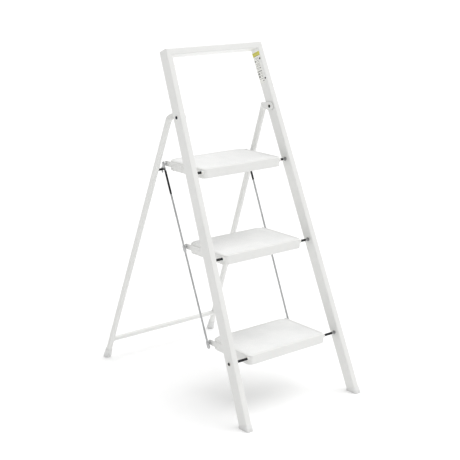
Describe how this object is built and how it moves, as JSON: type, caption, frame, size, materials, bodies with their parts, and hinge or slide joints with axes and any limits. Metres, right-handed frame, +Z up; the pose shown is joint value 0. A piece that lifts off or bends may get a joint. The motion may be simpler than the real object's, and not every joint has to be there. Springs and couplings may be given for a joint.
{
  "type": "folding step stool",
  "caption": "Slim folding step stool: leaning grip frame with hinged treads, a swinging rear frame and side links that hook over studs on the rear legs.",
  "frame": {"origin": "on the floor, at the middle of the footprint", "axes": "+Z up, +Y to the rear, +X to the right of a person facing the treads"},
  "size_m": [0.4648, 0.7664, 1.05],
  "materials": {
    "white_coat": "satin",
    "tread_rubber": "matte",
    "foot_plastic": "matte",
    "black_steel": "satin",
    "zinc_steel": "satin",
    "pale_nylon": "satin",
    "label_film": "gloss"
  },
  "bodies": {
    "front_frame": {"left_stile": "white_coat", "right_stile": "white_coat", "top_rail": "white_coat", "left_front_boot": "foot_plastic", "right_front_boot": "foot_plastic", "lower_step_pins": "black_steel", "middle_step_pins": "black_steel", "top_step_pins": "black_steel", "lower_pin_seats": "zinc_steel", "middle_pin_seats": "zinc_steel", "top_pin_seats": "zinc_steel", "leg_pivot_rivets": "black_steel", "pivot_washers": "pale_nylon", "grip_screws": "black_steel", "side_label": "label_film"},
    "rear_frame": {"left_rear_leg": "white_coat", "right_rear_leg": "white_coat", "lower_rear_crossbar": "white_coat", "left_rear_foot": "foot_plastic", "right_rear_foot": "foot_plastic", "catch_studs": "black_steel"},
    "top_step": {"top_tray": "white_coat", "top_tread_mat": "tread_rubber", "top_pin_bushes": "pale_nylon", "top_link_brackets": "white_coat", "top_bracket_rivets": "white_coat", "top_link_pins": "zinc_steel"},
    "middle_step": {"middle_tray": "white_coat", "middle_tread_mat": "tread_rubber", "middle_pin_bushes": "pale_nylon", "middle_link_brackets": "white_coat", "middle_bracket_rivets": "white_coat", "middle_link_pins": "zinc_steel"},
    "lower_step": {"lower_tray": "white_coat", "lower_tread_mat": "tread_rubber", "lower_pin_bushes": "pale_nylon", "lower_link_brackets": "white_coat", "lower_bracket_rivets": "white_coat", "lower_link_pins": "zinc_steel"},
    "left_link": {"left_link_rods": "zinc_steel", "left_rod_sleeve": "black_steel", "left_link_eyes": "zinc_steel", "left_catch_hook": "zinc_steel"},
    "right_link": {"right_link_rods": "zinc_steel", "right_rod_sleeve": "black_steel", "right_link_eyes": "zinc_steel", "right_catch_hook": "zinc_steel"}
  },
  "joints": [
    {"name": "rear_frame_fold", "type": "hinge", "parent": "front_frame", "child": "rear_frame", "pos_m": [0, -0.00676, 0.8553], "axis": [-1, 0, 0], "range_deg": [0, 43.7]},
    {"name": "lower_step_fold", "type": "hinge", "parent": "front_frame", "child": "lower_step", "pos_m": [0, -0.2871, 0.1785], "axis": [1, 0, 0], "range_deg": [0, 62]},
    {"name": "middle_step_fold", "type": "hinge", "parent": "front_frame", "child": "middle_step", "pos_m": [0, -0.17224, 0.4558], "axis": [1, 0, 0], "range_deg": [0, 62]},
    {"name": "top_step_fold", "type": "hinge", "parent": "front_frame", "child": "top_step", "pos_m": [0, -0.07225, 0.6972], "axis": [1, 0, 0], "range_deg": [0, 62]},
    {"name": "left_link_swing", "type": "hinge", "parent": "top_step", "child": "left_link", "pos_m": [-0.1636, 0.10225, 0.6972], "axis": [1, 0, 0], "range_deg": [-62, 0]},
    {"name": "right_link_swing", "type": "hinge", "parent": "top_step", "child": "right_link", "pos_m": [0.1636, 0.10225, 0.6972], "axis": [1, 0, 0], "range_deg": [-62, 0]}
  ],
  "couplings": [
    {"joint": "lower_step_fold", "follows": "rear_frame_fold", "ratio": 1.4187},
    {"joint": "middle_step_fold", "follows": "rear_frame_fold", "ratio": 1.4187},
    {"joint": "top_step_fold", "follows": "rear_frame_fold", "ratio": 1.4187},
    {"joint": "left_link_swing", "follows": "rear_frame_fold", "ratio": -1.4187},
    {"joint": "right_link_swing", "follows": "rear_frame_fold", "ratio": -1.4187}
  ]
}
